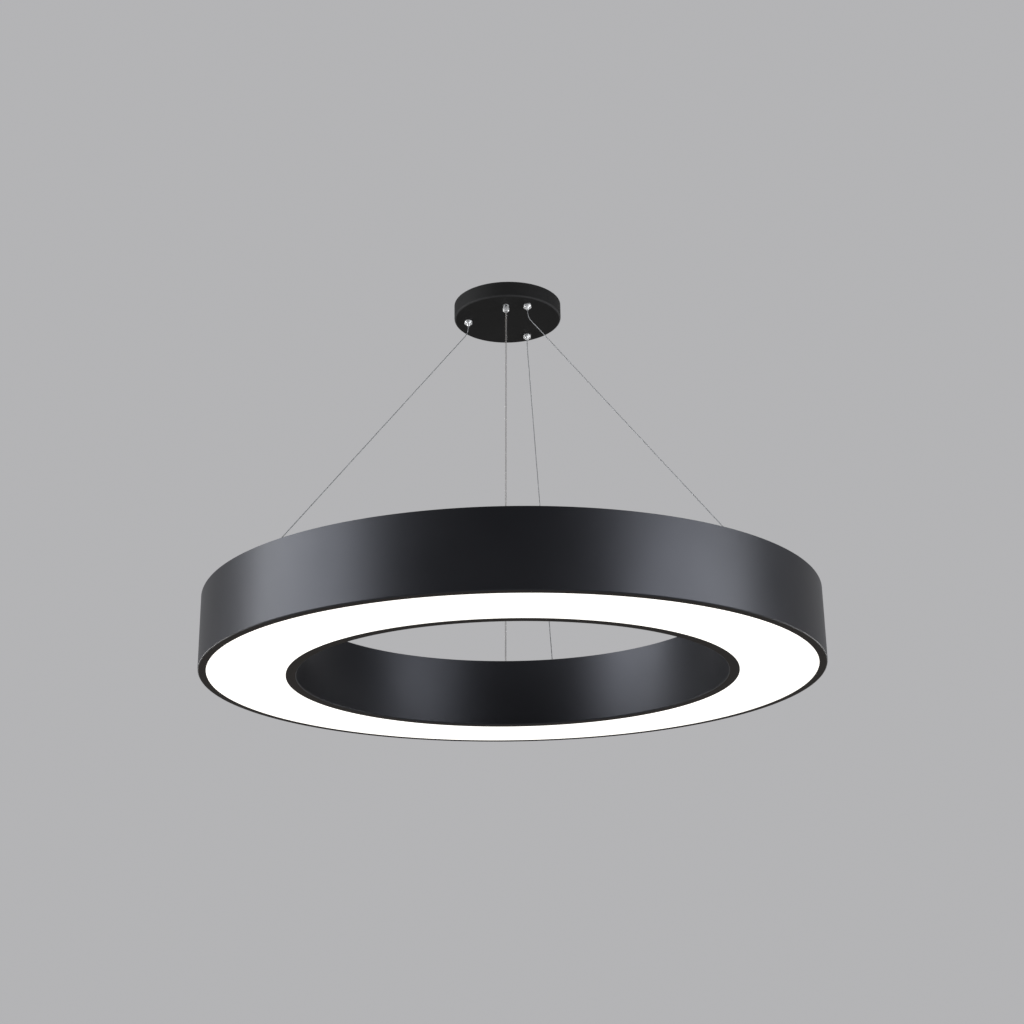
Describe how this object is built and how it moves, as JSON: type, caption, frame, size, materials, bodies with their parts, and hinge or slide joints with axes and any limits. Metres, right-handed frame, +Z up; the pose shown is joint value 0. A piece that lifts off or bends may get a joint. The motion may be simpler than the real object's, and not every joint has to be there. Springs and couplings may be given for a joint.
{
  "type": "ring pendant lamp",
  "caption": "Flat ring-shaped LED pendant with an opal underside, black sheet walls, wire suspension and a round ceiling canopy.",
  "frame": {"origin": "centre of the canopy's ceiling face, which lies flat on the ceiling at z = 0", "axes": "+Z up into the ceiling, the ring's axis; -Y towards the viewer, +X to the viewer's right"},
  "size_m": [0.8, 0.8, 0.534],
  "materials": {
    "black_paint": "satin",
    "bright_fitting": "polished",
    "zinc_steel": "satin",
    "brass": "satin",
    "spring_steel": "satin",
    "wire_steel": "satin",
    "cord_jacket": "gloss",
    "white_plastic": "matte",
    "black_plastic": "matte",
    "lead_jacket": "satin",
    "tray_white": "matte",
    "board_white": "satin",
    "led_phosphor": "matte",
    "opal_acrylic": "satin",
    "foam_tape": "matte"
  },
  "bodies": {
    "canopy": {"canopy_cup": "black_paint", "ceiling_plate": "zinc_steel", "canopy_screws": "black_paint", "earth_screw": "brass", "driver": "white_plastic", "mains_terminal": "white_plastic", "driver_leads": "lead_jacket", "gripper_caps": "brass", "gripper_nuts": "bright_fitting", "cord_gland": "bright_fitting", "gland_grub_screw": "spring_steel", "gland_nut": "bright_fitting", "power_cord": "cord_jacket", "gripper_body_left": "bright_fitting", "grip_spring_left": "spring_steel", "suspension_wire_left": "wire_steel", "gripper_body_right": "bright_fitting", "grip_spring_right": "spring_steel", "suspension_wire_right": "wire_steel", "gripper_body_far": "bright_fitting", "grip_spring_far": "spring_steel", "suspension_wire_far": "wire_steel"},
    "ring": {"outer_wall": "black_paint", "inner_wall": "black_paint", "top_plate": "black_paint", "top_plate_screws": "black_paint", "ribs": "zinc_steel", "led_tray": "tray_white", "tray_screws": "zinc_steel", "led_boards": "board_white", "led_chips": "led_phosphor", "board_screws": "zinc_steel", "board_links": "white_plastic", "feed_connector": "white_plastic", "ring_terminal": "white_plastic", "tray_leads": "lead_jacket", "hanger_left": "bright_fitting", "hanger_right": "bright_fitting", "hanger_far": "bright_fitting", "wire_end_balls": "zinc_steel", "hanger_backings": "zinc_steel", "hanger_nuts": "zinc_steel", "cord_grommet": "black_plastic", "diffuser": "opal_acrylic", "diffuser_tape": "foam_tape", "diffuser_clips": "spring_steel"},
    "plunger_left": {"release_plunger_left": "bright_fitting", "grip_jaws_left": "brass"},
    "plunger_right": {"release_plunger_right": "bright_fitting", "grip_jaws_right": "brass"},
    "plunger_far": {"release_plunger_far": "bright_fitting", "grip_jaws_far": "brass"}
  },
  "joints": [
    {"name": "ring_height", "type": "slide", "parent": "canopy", "child": "ring", "axis": [0, 0, 1], "range_m": [0, 0.15], "deforming": ["suspension_wire_left", "suspension_wire_right", "suspension_wire_far", "power_cord"]},
    {"name": "release_left", "type": "slide", "parent": "canopy", "child": "plunger_left", "axis": [0, 0, 1], "range_m": [0, 0.0025], "stiffness_N_per_m": 600, "springref_m": -0.002, "deforming": ["grip_spring_left"]},
    {"name": "release_right", "type": "slide", "parent": "canopy", "child": "plunger_right", "axis": [0, 0, 1], "range_m": [0, 0.0025], "stiffness_N_per_m": 600, "springref_m": -0.002, "deforming": ["grip_spring_right"]},
    {"name": "release_far", "type": "slide", "parent": "canopy", "child": "plunger_far", "axis": [0, 0, 1], "range_m": [0, 0.0025], "stiffness_N_per_m": 600, "springref_m": -0.002, "deforming": ["grip_spring_far"]}
  ]
}
